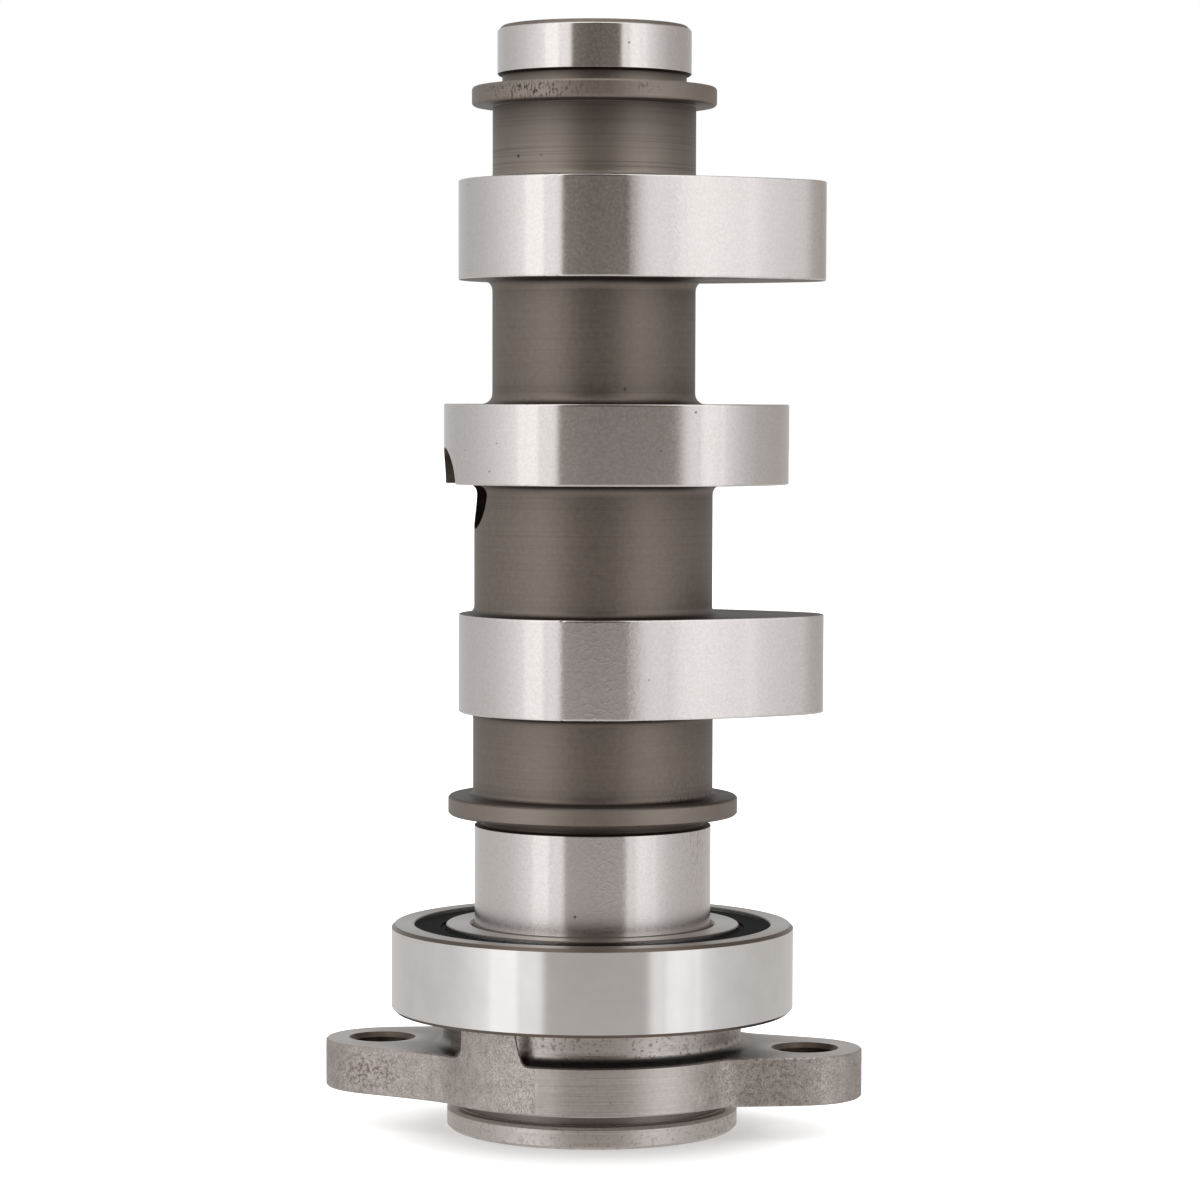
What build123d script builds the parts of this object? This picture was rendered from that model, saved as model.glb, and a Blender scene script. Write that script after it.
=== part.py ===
from build123d import *
from math import cos, radians, sin
import os

os.makedirs("parts", exist_ok=True)

# Camshaft of a small single-cylinder overhead-cam engine, in millimetres.
# It stands on the spigot of its sprocket end. Z runs along the shaft, the
# noses of the lobes point along +X and the drilled side is -X.

# Sprocket flange, from the end face upwards
spigot_radius = 15.2
spigot_height = 2.25
spigot_chamfer = 0.3
register_undercut_radius = 14.0
register_undercut_width = 1.45
plate_thickness = 5.0
turned_plate_radius = 17.0
plate_edge_chamfer = 0.15
neck_radius = 15.6
neck_height = 3.6
neck_cove_radius = 1.1
ear_turn = -8.4
bolt_circle_radius = 22.4
bolt_hole_radius = 3.0
bolt_hole_chamfer = 0.5
ear_end_radius = 7.2
ear_end_offset = 21.2
ear_root_offset = 15.5
ear_root_half_width = 8.8
ear_root_fillet = 4.0
flare_offset = 11.9
flare_half_width = 12.0
shoulder_offset = 3.4
shoulder_half_width = 17.7
block_left = -13.4
block_right_top = -7.85
block_right_foot = -6.3
block_gap = 0.25
block_fillet = 1.0

# Shaft, from the end inside the flange upwards
shaft_end_recess = 0.4
press_seat_radius = 11.0
press_seat_chamfer = 0.5
bearing_bore_radius = 12.5
relief_radius = 12.33
relief_length = 10.35
undercut_radius = 11.6
undercut_width = 1.15
collar_radius = 15.08
collar_width = 1.95
collar_chamfer = 0.2
lower_shaft_radius = 12.5
lower_shaft_length = 8.73
middle_shaft_radius = 12.38
middle_shaft_length = 13.47
upper_shaft_radius = 10.51
upper_shaft_length = 12.75
top_shaft_radius = 10.49
top_shaft_length = 7.6
lobe_fillet = 0.7
top_collar_radius = 12.63
top_collar_width = 1.95
top_collar_round = 0.35
neck_down_radius = 9.5
neck_down_width = 1.2
end_journal_radius = 10.0
end_journal_length = 5.0
end_journal_chamfer = 0.5
end_journal_edge = 0.15
centre_hole_radius = 1.6
centre_hole_mouth = 3.0
centre_hole_depth = 6.0

# Outer lobes, an alike pair
outer_lobe_width = 10.2
outer_base_radius = 14.0
outer_nose_radius = 6.0
outer_nose_offset = 18.0
outer_flank_start = 14.5
outer_lobe_turn = 0.5

# Middle lobe
middle_lobe_width = 8.25
middle_base_radius = 15.5
middle_nose_step = 1.0
middle_nose_offset = 5.75
middle_flank_start = 0.5
middle_lobe_turn = -1.5

# Pin hole drilled across the shaft, half in the middle lobe
pin_hole_radius = 4.2
pin_hole_drop = 0.45
pin_hole_turn = 8.8
pin_hole_floor = 3.2

# Sealed ball bearing
bearing_outer_radius = 21.0
bearing_width = 9.0
bearing_chamfer = 0.35
bearing_edge = 0.1
ring_shoulder_offset = 1.45
ball_diameter = 4.762
ball_count = 13
race_clearance = 0.02
groove_ratio = 0.52
seal_recess = 0.4
seal_thickness = 0.95
seal_lip_gap = 0.06
seal_lip_width = 0.5
seal_lip_step = 0.15
seal_groove_depth = 0.35
seal_mouth_offset = 1.85
cage_thickness = 0.4
cage_width = 2.2
cage_ball_clearance = 0.08
rivet_radius = 0.35
rivet_head_radius = 0.65
rivet_head_height = 0.25

# Stations along the shaft, each from the one below
plate_base = spigot_height + register_undercut_width
plate_top = plate_base + plate_thickness
bearing_base = plate_top + neck_height
bearing_middle = bearing_base + bearing_width / 2
bearing_top = bearing_base + bearing_width
relief_top = bearing_top + relief_length
collar_base = relief_top + undercut_width
collar_top = collar_base + collar_width
lower_lobe_base = collar_top + lower_shaft_length
lower_lobe_top = lower_lobe_base + outer_lobe_width
middle_lobe_base = lower_lobe_top + middle_shaft_length
middle_lobe_top = middle_lobe_base + middle_lobe_width
upper_lobe_base = middle_lobe_top + upper_shaft_length
upper_lobe_top = upper_lobe_base + outer_lobe_width
top_collar_base = upper_lobe_top + top_shaft_length
top_collar_top = top_collar_base + top_collar_width
end_journal_base = top_collar_top + neck_down_width
end_journal_top = end_journal_base + end_journal_length
ball_radius = ball_diameter / 2
groove_radius = groove_ratio * ball_diameter

# Radii that follow from the bearing's bore and outside, and the middle lobe's nose
pitch_radius = (bearing_bore_radius + bearing_outer_radius) / 2
inner_shoulder_radius = pitch_radius - ring_shoulder_offset
outer_shoulder_radius = pitch_radius + ring_shoulder_offset
seal_mouth_radius = pitch_radius + seal_mouth_offset
middle_nose_radius = middle_base_radius - middle_nose_step


def lobe_outline(base, nose, offset, flank_start):
    """Cam profile of a base arc, two flank arcs and a nose arc towards +X."""
    lean = sin(radians(flank_start))
    reach = (offset**2 - (base - nose) ** 2) / (2 * (base - nose - offset * lean))
    start = Vector(lean, cos(radians(flank_start)))
    flank_centre = start * -reach
    nose_centre = Vector(offset, 0)
    foot = start * base
    join = nose_centre + (nose_centre - flank_centre).normalized() * nose
    middle = flank_centre + (foot + join - flank_centre * 2).normalized() * (reach + base)
    with BuildSketch() as outline:
        with BuildLine():
            ThreePointArc((join.X, -join.Y), (offset + nose, 0), (join.X, join.Y))
            ThreePointArc((join.X, join.Y), (middle.X, middle.Y), (foot.X, foot.Y))
            ThreePointArc((foot.X, foot.Y), (-base, 0), (foot.X, -foot.Y))
            ThreePointArc((foot.X, -foot.Y), (middle.X, -middle.Y), (join.X, -join.Y))
        make_face()
    return outline.sketch


def ear_outline(side):
    """Tapered ear with a round end, on the side of +X or -X."""
    with BuildSketch() as outline:
        with BuildLine():
            Line(
                (side * ear_root_offset, -ear_root_half_width),
                (side * ear_root_offset, ear_root_half_width),
            )
            CenterArc((side * ear_end_offset, 0), ear_end_radius, 0, 360)
        make_hull()
    return outline.sketch


def flange_outline():
    """Plan of the plate: turned middle, two ears and one wide shoulder."""
    right_ear = ear_outline(1)
    left_ear = ear_outline(-1)
    with BuildSketch() as outline:
        with BuildLine():
            Polyline(
                (ear_root_offset, -ear_root_half_width),
                (ear_root_offset, ear_root_half_width),
                (flare_offset, flare_half_width),
                (-flare_offset, flare_half_width),
                (-ear_root_offset, ear_root_half_width),
                (-ear_root_offset, -ear_root_half_width),
                (-shoulder_offset, -shoulder_half_width),
                (0, -flare_half_width),
                (flare_offset, -flare_half_width),
                (ear_root_offset, -ear_root_half_width),
            )
        make_face()
        add(right_ear)
        add(left_ear)
        Circle(turned_plate_radius)
        roots = outline.vertices().filter_by(is_ear_root)
        fillet(roots, ear_root_fillet)
    return outline.sketch


def is_ear_root(corner):
    """Whether a corner of the plate is where an ear meets its flare."""
    along = abs(abs(corner.X) - ear_root_offset)
    across = abs(abs(corner.Y) - ear_root_half_width)
    return along < 0.01 and across < 0.01


def turned(radius, base, top, mode=Mode.ADD):
    """Cylinder on the shaft's axis between two heights."""
    with Locations((0, 0, base)):
        Cylinder(radius, top - base, align=(Align.CENTER, Align.CENTER, Align.MIN), mode=mode)


def rims(piece, radius, height):
    """Circular edges of a piece that have one radius at one height."""
    circles = piece.edges().filter_by(GeomType.CIRCLE)
    level = circles.filter_by(lambda edge: abs(edge.arc_center.Z - height) < 0.001)
    return level.filter_by(lambda edge: abs(edge.radius - radius) < 0.001)


def outer_edges(piece, height):
    """Edges around the widest level face of a piece at one height."""
    level = piece.faces().filter_by(Axis.Z)
    here = level.filter_by(lambda face: abs(face.center().Z - height) < 0.001)
    return here.sort_by(SortBy.AREA)[-1].outer_wire().edges()


# Camshaft: turned steps, then the three lobes, then the holes

with BuildPart() as camshaft:
    turned(press_seat_radius, shaft_end_recess, bearing_base)
    turned(bearing_bore_radius, bearing_base, bearing_top)
    turned(relief_radius, bearing_top, relief_top)
    turned(undercut_radius, relief_top, collar_base)
    turned(collar_radius, collar_base, collar_top)
    turned(lower_shaft_radius, collar_top, lower_lobe_base)
    turned(middle_shaft_radius, lower_lobe_base, middle_lobe_base)
    turned(upper_shaft_radius, middle_lobe_base, upper_lobe_base)
    turned(top_shaft_radius, upper_lobe_base, top_collar_base)
    turned(top_collar_radius, top_collar_base, top_collar_top)
    turned(neck_down_radius, top_collar_top, end_journal_base)
    turned(end_journal_radius, end_journal_base, end_journal_top)

    for lobe_base in (lower_lobe_base, upper_lobe_base):
        with BuildSketch(Plane.XY.offset(lobe_base).rotated((0, 0, outer_lobe_turn))):
            add(lobe_outline(outer_base_radius, outer_nose_radius, outer_nose_offset, outer_flank_start))
        extrude(amount=outer_lobe_width)
    with BuildSketch(Plane.XY.offset(middle_lobe_base).rotated((0, 0, middle_lobe_turn))):
        add(lobe_outline(middle_base_radius, middle_nose_radius, middle_nose_offset, middle_flank_start))
    extrude(amount=middle_lobe_width)

    fillet(rims(camshaft, lower_shaft_radius, lower_lobe_base), lobe_fillet)
    fillet(rims(camshaft, middle_shaft_radius, lower_lobe_top), lobe_fillet)
    fillet(rims(camshaft, middle_shaft_radius, middle_lobe_base), lobe_fillet)
    fillet(rims(camshaft, upper_shaft_radius, middle_lobe_top), lobe_fillet)
    fillet(rims(camshaft, upper_shaft_radius, upper_lobe_base), lobe_fillet)
    fillet(rims(camshaft, top_shaft_radius, upper_lobe_top), lobe_fillet)

    fillet(rims(camshaft, top_collar_radius, top_collar_base), top_collar_round)
    fillet(rims(camshaft, top_collar_radius, top_collar_top), top_collar_round)
    chamfer(rims(camshaft, collar_radius, collar_base), collar_chamfer)
    chamfer(rims(camshaft, collar_radius, collar_top), collar_chamfer)
    chamfer(rims(camshaft, end_journal_radius, end_journal_top), end_journal_chamfer)
    chamfer(rims(camshaft, end_journal_radius, end_journal_base), end_journal_edge)
    chamfer(rims(camshaft, press_seat_radius, shaft_end_recess), press_seat_chamfer)

    pin_hole_height = middle_lobe_base - pin_hole_drop
    pin_hole_way = Vector(-cos(radians(pin_hole_turn)), -sin(radians(pin_hole_turn)), 0)
    pin_hole_start = pin_hole_way * pin_hole_floor + Vector(0, 0, pin_hole_height)
    with BuildSketch(Plane(origin=pin_hole_start, z_dir=pin_hole_way)):
        Circle(pin_hole_radius)
    extrude(amount=2 * middle_base_radius, mode=Mode.SUBTRACT)

    with Locations((0, 0, end_journal_top)):
        CounterSinkHole(centre_hole_radius, centre_hole_mouth, centre_hole_depth, 60)
    with Locations(Location((0, 0, shaft_end_recess), (180, 0, 0))):
        CounterSinkHole(centre_hole_radius, centre_hole_mouth, centre_hole_depth, 60)

camshaft.part.label = "camshaft"
export_step(camshaft.part, "parts/camshaft.step")


# Forged block that rises from the plate on the left of the front

block_top = bearing_base - block_gap
with BuildPart() as block:
    with BuildSketch(Plane.XZ):
        with BuildLine():
            Polyline(
                (block_left, plate_top + block_fillet),
                (block_left, block_top),
                (block_right_top, block_top),
                (block_right_foot, plate_top),
                (block_right_foot, plate_base + plate_edge_chamfer),
                (block_left - block_fillet, plate_base + plate_edge_chamfer),
                (block_left - block_fillet, plate_top),
            )
            TangentArc(
                (block_left - block_fillet, plate_top),
                (block_left, plate_top + block_fillet),
                tangent=(1, 0),
            )
        make_face()
    extrude(amount=turned_plate_radius + shoulder_half_width)
    with BuildSketch(Plane.XY.rotated((0, 0, ear_turn))):
        add(flange_outline())
    extrude(amount=block_top, mode=Mode.INTERSECT)


# Two-eared flange for the sprocket, pressed on after the bearing

with BuildPart() as sprocket_flange:
    turned(spigot_radius, 0, spigot_height)
    turned(register_undercut_radius, 0, plate_base)
    with BuildSketch(Plane.XY.offset(plate_base).rotated((0, 0, ear_turn))):
        add(flange_outline())
    extrude(amount=plate_thickness)
    turned(neck_radius, plate_base, bearing_base)
    fillet(rims(sprocket_flange, neck_radius, plate_top), neck_cove_radius)
    chamfer(rims(sprocket_flange, spigot_radius, 0), spigot_chamfer)
    chamfer(rims(sprocket_flange, spigot_radius, spigot_height), spigot_chamfer)
    chamfer(outer_edges(sprocket_flange, plate_top), plate_edge_chamfer)
    chamfer(outer_edges(sprocket_flange, plate_base), plate_edge_chamfer)
    add(block.part)
    turned(press_seat_radius, 0, bearing_base, mode=Mode.SUBTRACT)
    with BuildSketch(Plane.XY.offset(plate_top).rotated((0, 0, ear_turn))):
        with Locations((-bolt_circle_radius, 0), (bolt_circle_radius, 0)):
            Circle(bolt_hole_radius)
    extrude(amount=-plate_thickness, mode=Mode.SUBTRACT)
    chamfer(rims(sprocket_flange, bolt_hole_radius, plate_top), bolt_hole_chamfer)
    chamfer(rims(sprocket_flange, bolt_hole_radius, plate_base), bolt_hole_chamfer)

sprocket_flange.part.label = "sprocket_flange"
export_step(sprocket_flange.part, "parts/sprocket_flange.step")


# Bearing rings, each with its groove for the balls

groove_reach = ball_radius + race_clearance - groove_radius
with BuildPart() as bearing_inner_ring:
    turned(inner_shoulder_radius, bearing_base, bearing_top)
    turned(bearing_bore_radius, bearing_base, bearing_top, mode=Mode.SUBTRACT)
    for face_height in (bearing_base, bearing_top):
        chamfer(rims(bearing_inner_ring, bearing_bore_radius, face_height), bearing_chamfer)
        chamfer(rims(bearing_inner_ring, inner_shoulder_radius, face_height), bearing_edge)
    with Locations((0, 0, bearing_middle)):
        Torus(pitch_radius - groove_reach, groove_radius, mode=Mode.SUBTRACT)

bearing_inner_ring.part.label = "bearing_inner_ring"
export_step(bearing_inner_ring.part, "parts/bearing_inner_ring.step")

seal_seat_radius = seal_mouth_radius + seal_groove_depth
seal_depth = seal_recess + seal_thickness
with BuildPart() as bearing_outer_ring:
    turned(bearing_outer_radius, bearing_base, bearing_top)
    turned(outer_shoulder_radius, bearing_base, bearing_top, mode=Mode.SUBTRACT)
    turned(seal_mouth_radius, bearing_base, bearing_base + seal_depth, mode=Mode.SUBTRACT)
    turned(seal_mouth_radius, bearing_top - seal_depth, bearing_top, mode=Mode.SUBTRACT)
    turned(seal_seat_radius, bearing_base + seal_recess, bearing_base + seal_depth, mode=Mode.SUBTRACT)
    turned(seal_seat_radius, bearing_top - seal_depth, bearing_top - seal_recess, mode=Mode.SUBTRACT)
    for face_height in (bearing_base, bearing_top):
        chamfer(rims(bearing_outer_ring, bearing_outer_radius, face_height), bearing_chamfer)
        chamfer(rims(bearing_outer_ring, seal_mouth_radius, face_height), bearing_edge)
    with Locations((0, 0, bearing_middle)):
        Torus(pitch_radius + groove_reach, groove_radius, mode=Mode.SUBTRACT)

bearing_outer_ring.part.label = "bearing_outer_ring"
export_step(bearing_outer_ring.part, "parts/bearing_outer_ring.step")


# Rubber seals, held in the outer ring and just clear of the inner ring

seal_bore_radius = inner_shoulder_radius + seal_lip_gap
for seal_name, outside in (("bearing_seal_lower", -1), ("bearing_seal_upper", 1)):
    seal_outside = bearing_middle + outside * (bearing_width / 2 - seal_recess)
    seal_inside = seal_outside - outside * seal_thickness
    lip_outside = seal_outside - outside * seal_lip_step
    with BuildPart() as seal:
        turned(seal_seat_radius, min(seal_inside, seal_outside), max(seal_inside, seal_outside))
        turned(
            seal_bore_radius + seal_lip_width,
            min(lip_outside, seal_outside),
            max(lip_outside, seal_outside),
            mode=Mode.SUBTRACT,
        )
        turned(
            seal_bore_radius,
            min(seal_inside, seal_outside),
            max(seal_inside, seal_outside),
            mode=Mode.SUBTRACT,
        )
    seal.part.label = seal_name
    export_step(seal.part, f"parts/{seal_name}.step")


# Pressed cage of two ribbons, riveted between the balls

pocket_radius = ball_radius + cage_ball_clearance
cage_reach = pocket_radius + cage_thickness
rivet_turn = 180 / ball_count
for cage_name, side in (("bearing_cage_lower", -1), ("bearing_cage_upper", 1)):
    cage_end = bearing_middle + side * cage_reach
    ribbon_face = bearing_middle + side * cage_thickness
    with BuildPart() as cage:
        with Locations((0, 0, bearing_middle)):
            with PolarLocations(pitch_radius, ball_count):
                Sphere(cage_reach)
        with BuildSketch(Plane.XY.offset(min(bearing_middle, cage_end))):
            Circle(pitch_radius + cage_width / 2)
            Circle(pitch_radius - cage_width / 2, mode=Mode.SUBTRACT)
        extrude(amount=cage_reach, mode=Mode.INTERSECT)
        with BuildSketch(Plane.XY.offset(min(bearing_middle, ribbon_face))):
            Circle(pitch_radius + cage_width / 2)
            Circle(pitch_radius - cage_width / 2, mode=Mode.SUBTRACT)
        extrude(amount=cage_thickness)
        with Locations((0, 0, bearing_middle)):
            with PolarLocations(pitch_radius, ball_count):
                Sphere(pocket_radius, mode=Mode.SUBTRACT)
            with PolarLocations(pitch_radius, ball_count, start_angle=rivet_turn):
                Cylinder(rivet_radius, 2 * cage_reach, mode=Mode.SUBTRACT)
    cage.part.label = cage_name
    export_step(cage.part, f"parts/{cage_name}.step")

with BuildPart() as bearing_cage_rivets:
    with Locations((0, 0, bearing_middle)):
        with PolarLocations(pitch_radius, ball_count, start_angle=rivet_turn):
            Cylinder(rivet_radius, 2 * cage_thickness)
    for side in (-1, 1):
        with Locations((0, 0, bearing_middle + side * (cage_thickness + rivet_head_height / 2))):
            with PolarLocations(pitch_radius, ball_count, start_angle=rivet_turn):
                Cylinder(rivet_head_radius, rivet_head_height)

bearing_cage_rivets.part.label = "bearing_cage_rivets"
export_step(bearing_cage_rivets.part, "parts/bearing_cage_rivets.step")


# Balls

for number in range(ball_count):
    way = radians(360 * number / ball_count)
    with BuildPart() as ball:
        with Locations((pitch_radius * cos(way), pitch_radius * sin(way), bearing_middle)):
            Sphere(ball_radius)
    ball.part.label = f"bearing_ball_{number + 1:02d}"
    export_step(ball.part, f"parts/bearing_ball_{number + 1:02d}.step")
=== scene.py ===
import math
import random

import bpy
from mathutils import Matrix, Vector, noise


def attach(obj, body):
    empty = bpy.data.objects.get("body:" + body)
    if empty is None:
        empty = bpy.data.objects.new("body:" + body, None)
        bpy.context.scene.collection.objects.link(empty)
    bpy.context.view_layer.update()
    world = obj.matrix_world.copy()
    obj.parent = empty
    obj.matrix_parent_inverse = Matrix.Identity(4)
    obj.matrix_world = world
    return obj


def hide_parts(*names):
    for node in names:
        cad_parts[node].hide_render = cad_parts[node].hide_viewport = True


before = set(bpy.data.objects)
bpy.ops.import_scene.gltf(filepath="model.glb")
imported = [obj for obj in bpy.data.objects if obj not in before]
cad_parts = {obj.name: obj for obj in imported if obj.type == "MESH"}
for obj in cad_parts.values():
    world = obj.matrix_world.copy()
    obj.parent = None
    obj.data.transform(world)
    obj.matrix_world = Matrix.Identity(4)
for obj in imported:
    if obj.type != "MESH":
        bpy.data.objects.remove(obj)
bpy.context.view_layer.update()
print("frame loaded:", len(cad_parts), "nodes")

mm = 0.001
chance = random.Random(24)              # says where the small nicks lie
asColour = {"data_type": "RGBA"}        # for a Mix node between two colours


def linearColour(hexText):
    # sRGB hex to the linear values that shaders take
    parts = [int(hexText[i:i + 2], 16) / 255 for i in (1, 3, 5)]
    return tuple(c / 12.92 if c <= 0.04045 else ((c + 0.055) / 1.055) ** 2.4 for c in parts) + (1.0,)


def addNode(tree, kind, inputs=None, settings=None, output=0):
    # adds a node, sets it up, links it, and gives back the output asked for
    node = tree.nodes.new(kind)
    for name, value in (settings or {}).items():
        setattr(node, name, value)
    for socket, value in (inputs or {}).items():
        if isinstance(value, bpy.types.NodeSocket):
            tree.links.new(value, node.inputs[socket])
        else:
            node.inputs[socket].default_value = value
    return node.outputs[output] if node.outputs else None


def newMaterial(name):
    material = bpy.data.materials.new(name)
    material.use_nodes = True
    material.node_tree.nodes.clear()
    return material, material.node_tree


def stretch(across, along):
    # scale of a pattern whose grains are this wide across the axis and this long along it, in millimetres
    return 1 / (across * mm), 1 / (across * mm), 1 / (along * mm)


# Marks, painted shade and painted light that the shaft's steels share, in millimetres
marks = {
    "paintedLightColour": "#b0a69d",            # painted light: paler on the shaft under the top collar and on the lower collar
    "cornerShadeColour": "#2b2420",             # painted shade in the corners
    "grooveColour": "#3b332e", "grooveTone": 0.5, "grooveLength": 70, "groovePitch": 0.3,
    "pitColour": "#2e231b", "pitWidth": 0.24, "pitLength": 0.5, "pitDepth": 2.0,
    "scratchCell": 1.1, "scratchWidth": 0.1,    # hair scratches, drawn a tenth of a millimetre wide to show
    "scratchSway": 3.0, "scratchSwaySize": 2.5,
    "roundingRoughness": 0.16,
}


def toolMarks(tree, place, look):
    # a base colour with a cloudy tone and fine lines round the axis, and their height with the grain's
    cloud = addNode(tree, "ShaderNodeTexNoise",
                    {"Vector": place, "Scale": 1 / (look["cloudSize"] * mm), "Detail": 3.0})
    share = addNode(tree, "ShaderNodeMapRange", {0: cloud, 1: 0.35, 2: 0.65})
    colour = addNode(tree, "ShaderNodeMix",
                     {0: share, 6: linearColour(look["dark"]), 7: linearColour(look["light"])}, asColour, 2)
    size = stretch(look["lineLength"], look["linePitch"])
    drawnOut = addNode(tree, "ShaderNodeVectorMath", {0: place, 1: size}, {"operation": "MULTIPLY"})
    lines = addNode(tree, "ShaderNodeTexNoise",
                    {"Vector": drawnOut, "Scale": 1.0, "Detail": 3.0, "Roughness": 0.6})
    share = addNode(tree, "ShaderNodeMapRange", {0: lines, 1: 0.3, 2: 0.7, 3: 0.0, 4: look["lineTone"]})
    colour = addNode(tree, "ShaderNodeMix",
                     {0: share, 6: colour, 7: linearColour(look["lineColour"])}, asColour, 2)
    grain = addNode(tree, "ShaderNodeTexNoise",
                    {"Vector": place, "Scale": 1 / (look["grainSize"] * mm), "Detail": 2.0})
    height = addNode(tree, "ShaderNodeMath", {0: grain, 1: look["grainShare"], 2: lines},
                     {"operation": "MULTIPLY_ADD"})
    return cloud, colour, height


def groovesWithPaintedLightAndShade(tree, place, look, colour, height):
    # paler with painted light, darker in the corners with painted shade, and deep turning grooves
    paintedLight, paintedShade, marked = (addNode(tree, "ShaderNodeAttribute", None, {"attribute_name": name}, "Fac")
                          for name in ("paintedLight", "paintedShade", "marks"))
    size = stretch(marks["grooveLength"], marks["groovePitch"])
    drawnOut = addNode(tree, "ShaderNodeVectorMath", {0: place, 1: size}, {"operation": "MULTIPLY"})
    grooves = addNode(tree, "ShaderNodeTexNoise",
                      {"Vector": drawnOut, "Scale": 1.0, "Detail": 2.0, "Roughness": 0.7})
    groove = addNode(tree, "ShaderNodeMapRange", {0: grooves, 1: 0.52, 2: 0.64})
    groove = addNode(tree, "ShaderNodeMath", {0: groove, 1: marked}, {"operation": "MULTIPLY"})
    share = addNode(tree, "ShaderNodeMath", {0: groove, 1: marks["grooveTone"]}, {"operation": "MULTIPLY"})
    # painted light makes it paler, painted shade darkens the corners, then the grooves' own colour
    for amount, layer in ((paintedLight, "paintedLightColour"), (paintedShade, "cornerShadeColour"), (share, "grooveColour")):
        colour = addNode(tree, "ShaderNodeMix",
                         {0: amount, 6: colour, 7: linearColour(marks[layer])}, asColour, 2)
    height = addNode(tree, "ShaderNodeMath", {0: groove, 1: -look["markDepth"], 2: height},
                     {"operation": "MULTIPLY_ADD"})
    return colour, height


def specksAndPits(tree, place, look, colour, height):
    # lone dark specks here and there, and brown pits close together where the piece has them
    gap = look["speckGap"] * mm
    specks = addNode(tree, "ShaderNodeTexVoronoi", {"Vector": place, "Scale": 1 / gap})
    speck = addNode(tree, "ShaderNodeMapRange", {0: specks, 1: 0.04, 2: 0.08, 3: look["specks"], 4: 0.0})
    patches = addNode(tree, "ShaderNodeTexNoise", {"Vector": place, "Scale": 0.4 / gap})
    share = addNode(tree, "ShaderNodeMapRange", {0: patches, 1: 0.54, 2: 0.6})
    speck = addNode(tree, "ShaderNodeMath", {0: speck, 1: share}, {"operation": "MULTIPLY"})
    pitted = addNode(tree, "ShaderNodeAttribute", None, {"attribute_name": "pits"}, "Fac")
    size = stretch(marks["pitWidth"], marks["pitLength"])
    drawnOut = addNode(tree, "ShaderNodeVectorMath", {0: place, 1: size}, {"operation": "MULTIPLY"})
    crumbs = addNode(tree, "ShaderNodeTexNoise", {"Vector": drawnOut, "Scale": 1.0, "Detail": 2.0})
    pit = addNode(tree, "ShaderNodeMapRange", {0: crumbs, 1: 0.52, 2: 0.6})
    pit = addNode(tree, "ShaderNodeMath", {0: pit, 1: pitted}, {"operation": "MULTIPLY"})
    dot = addNode(tree, "ShaderNodeMath", {0: speck, 1: pit}, {"operation": "MAXIMUM"})
    colour = addNode(tree, "ShaderNodeMix",
                     {0: dot, 6: colour, 7: linearColour(marks["pitColour"])}, asColour, 2)
    height = addNode(tree, "ShaderNodeMath", {0: dot, 1: -marks["pitDepth"], 2: height},
                     {"operation": "MULTIPLY_ADD"})
    return colour, height


def hairScratches(tree, place, look, height):
    # fine scratches that cross each other, from handling
    scratched = addNode(tree, "ShaderNodeAttribute", None, {"attribute_name": "scratched"}, "Fac")
    sway = addNode(tree, "ShaderNodeTexNoise",
                   {"Vector": place, "Scale": 1 / (marks["scratchSwaySize"] * mm)}, None, "Color")
    swayed = addNode(tree, "ShaderNodeVectorMath",
                     {0: sway, 1: (marks["scratchSway"] * mm,) * 3, 2: place}, {"operation": "MULTIPLY_ADD"})
    cells = addNode(tree, "ShaderNodeTexVoronoi",
                    {"Vector": swayed, "Scale": 1 / (marks["scratchCell"] * mm)},
                    {"feature": "DISTANCE_TO_EDGE"})
    scratch = addNode(tree, "ShaderNodeMapRange",
                      {0: cells, 1: 0.0, 2: marks["scratchWidth"], 3: 1.0, 4: 0.0})
    scratch = addNode(tree, "ShaderNodeMath", {0: scratch, 1: scratched}, {"operation": "MULTIPLY"})
    return addNode(tree, "ShaderNodeMath", {0: scratch, 1: look["scratchDepth"], 2: height},
                   {"operation": "MULTIPLY_ADD"})


def dullAndShadedRoundings(tree, look, colour, roughness):
    # the edges were rounded before hardening and never ground: dull, and darker with painted shade; the level
    # faces are painted grey as shade
    normal = addNode(tree, "ShaderNodeNewGeometry", output="Normal")
    upward = addNode(tree, "ShaderNodeSeparateXYZ", {0: normal}, None, 2)
    slope = addNode(tree, "ShaderNodeMath", {0: upward}, {"operation": "ABSOLUTE"})
    leaves = addNode(tree, "ShaderNodeMapRange", {0: slope, 1: 0.12, 2: 0.3})
    level = addNode(tree, "ShaderNodeMapRange", {0: slope, 1: 0.95, 2: 0.99})
    # painted shade on the roundings and on the level faces
    for amount, layer in ((leaves, "roundingShade"), (level, "faces")):
        colour = addNode(tree, "ShaderNodeMix",
                         {0: amount, 6: colour, 7: linearColour(look[layer])}, asColour, 2)
    roughness = addNode(tree, "ShaderNodeMath", {0: leaves, 1: marks["roundingRoughness"], 2: roughness},
                        {"operation": "MULTIPLY_ADD"})
    return colour, roughness


def finishMetal(material, colour, roughness, height, look):
    # the shader of a turned piece: its gloss is drawn out round the axis
    tree = material.node_tree
    bump = addNode(tree, "ShaderNodeBump",
                   {"Strength": look["bump"], "Distance": look["depth"] * mm, "Height": height})
    tangent = addNode(tree, "ShaderNodeTangent", None, {"direction_type": "RADIAL", "axis": "Z"})
    shader = addNode(tree, "ShaderNodeBsdfPrincipled", {
        "Base Color": colour, "Metallic": 1.0, "Roughness": roughness, "Normal": bump,
        "Anisotropic": look["anisotropy"], "Anisotropic Rotation": 0.25, "Tangent": tangent})
    addNode(tree, "ShaderNodeOutputMaterial", {0: shader})
    return material


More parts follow.
